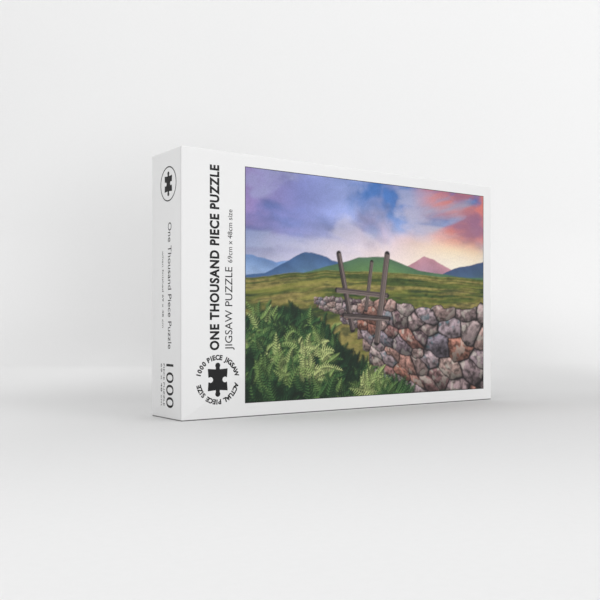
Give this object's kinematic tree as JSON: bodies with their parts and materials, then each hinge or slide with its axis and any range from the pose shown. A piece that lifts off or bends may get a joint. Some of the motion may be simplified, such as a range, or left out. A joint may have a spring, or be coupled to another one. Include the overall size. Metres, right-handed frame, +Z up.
{
  "type": "boxed jigsaw puzzle",
  "caption": "Flat paper-covered board box with a lift-off telescoping lid, holding a sealed clear bag of loose interlocking jigsaw pieces.",
  "frame": {"origin": "the middle of the box's footprint, on the floor, with the box standing on its long side", "axes": "+X along the box's length towards the picture side, +Y from the lid's printed panel to the base's back panel, +Z up"},
  "size_m": [0.35, 0.054, 0.215],
  "materials": {
    "greyboard": "raw, matt, slightly fibrous",
    "kraft_tape": "matt brown gummed tape",
    "coated_paper": "printed, satin laminate",
    "clear_film": "clear, glossy, wrinkled",
    "puzzle_board": "printed and linen-embossed face, grey back"
  },
  "bodies": {
    "base": {"base_board": "greyboard", "base_corner_stay_upper_left": "kraft_tape", "base_corner_stay_upper_right": "kraft_tape", "base_corner_stay_lower_left": "kraft_tape", "base_corner_stay_lower_right": "kraft_tape", "base_wrap": "coated_paper"},
    "lid": {"lid_board": "greyboard", "lid_corner_stay_upper_left": "kraft_tape", "lid_corner_stay_upper_right": "kraft_tape", "lid_corner_stay_lower_left": "kraft_tape", "lid_corner_stay_lower_right": "kraft_tape", "lid_wrap": "coated_paper"},
    "bag": {"clear_bag": "clear_film", "loose_pieces": "puzzle_board", "puzzle_piece_01": "puzzle_board", "puzzle_piece_02": "puzzle_board", "puzzle_piece_03": "puzzle_board", "puzzle_piece_04": "puzzle_board", "puzzle_piece_05": "puzzle_board", "puzzle_piece_06": "puzzle_board", "puzzle_piece_07": "puzzle_board", "puzzle_piece_08": "puzzle_board", "puzzle_piece_09": "puzzle_board", "puzzle_piece_10": "puzzle_board", "puzzle_piece_11": "puzzle_board", "puzzle_piece_12": "puzzle_board", "puzzle_piece_13": "puzzle_board", "puzzle_piece_14": "puzzle_board", "puzzle_piece_15": "puzzle_board", "puzzle_piece_16": "puzzle_board", "puzzle_piece_17": "puzzle_board", "puzzle_piece_18": "puzzle_board", "puzzle_piece_19": "puzzle_board", "puzzle_piece_20": "puzzle_board", "puzzle_piece_21": "puzzle_board", "puzzle_piece_22": "puzzle_board", "puzzle_piece_23": "puzzle_board", "puzzle_piece_24": "puzzle_board", "puzzle_piece_25": "puzzle_board", "puzzle_piece_26": "puzzle_board", "puzzle_piece_27": "puzzle_board", "puzzle_piece_28": "puzzle_board", "puzzle_piece_29": "puzzle_board", "puzzle_piece_30": "puzzle_board", "puzzle_piece_31": "puzzle_board", "puzzle_piece_32": "puzzle_board", "puzzle_piece_33": "puzzle_board", "puzzle_piece_34": "puzzle_board", "puzzle_piece_35": "puzzle_board", "puzzle_piece_36": "puzzle_board", "puzzle_piece_37": "puzzle_board", "puzzle_piece_38": "puzzle_board", "puzzle_piece_39": "puzzle_board", "puzzle_piece_40": "puzzle_board", "puzzle_piece_41": "puzzle_board", "puzzle_piece_42": "puzzle_board", "puzzle_piece_43": "puzzle_board", "puzzle_piece_44": "puzzle_board", "puzzle_piece_45": "puzzle_board", "puzzle_piece_46": "puzzle_board"}
  },
  "joints": [
    {"name": "lid_slide", "type": "slide", "parent": "base", "child": "lid", "axis": [0, -1, 0], "range_m": [0, 0.15]},
    {"name": "bag_slide", "type": "slide", "parent": "base", "child": "bag", "axis": [0, -1, 0], "range_m": [0, 0.075]}
  ],
  "couplings": [
    {"joint": "bag_slide", "follows": "lid_slide", "ratio": 0.5}
  ]
}
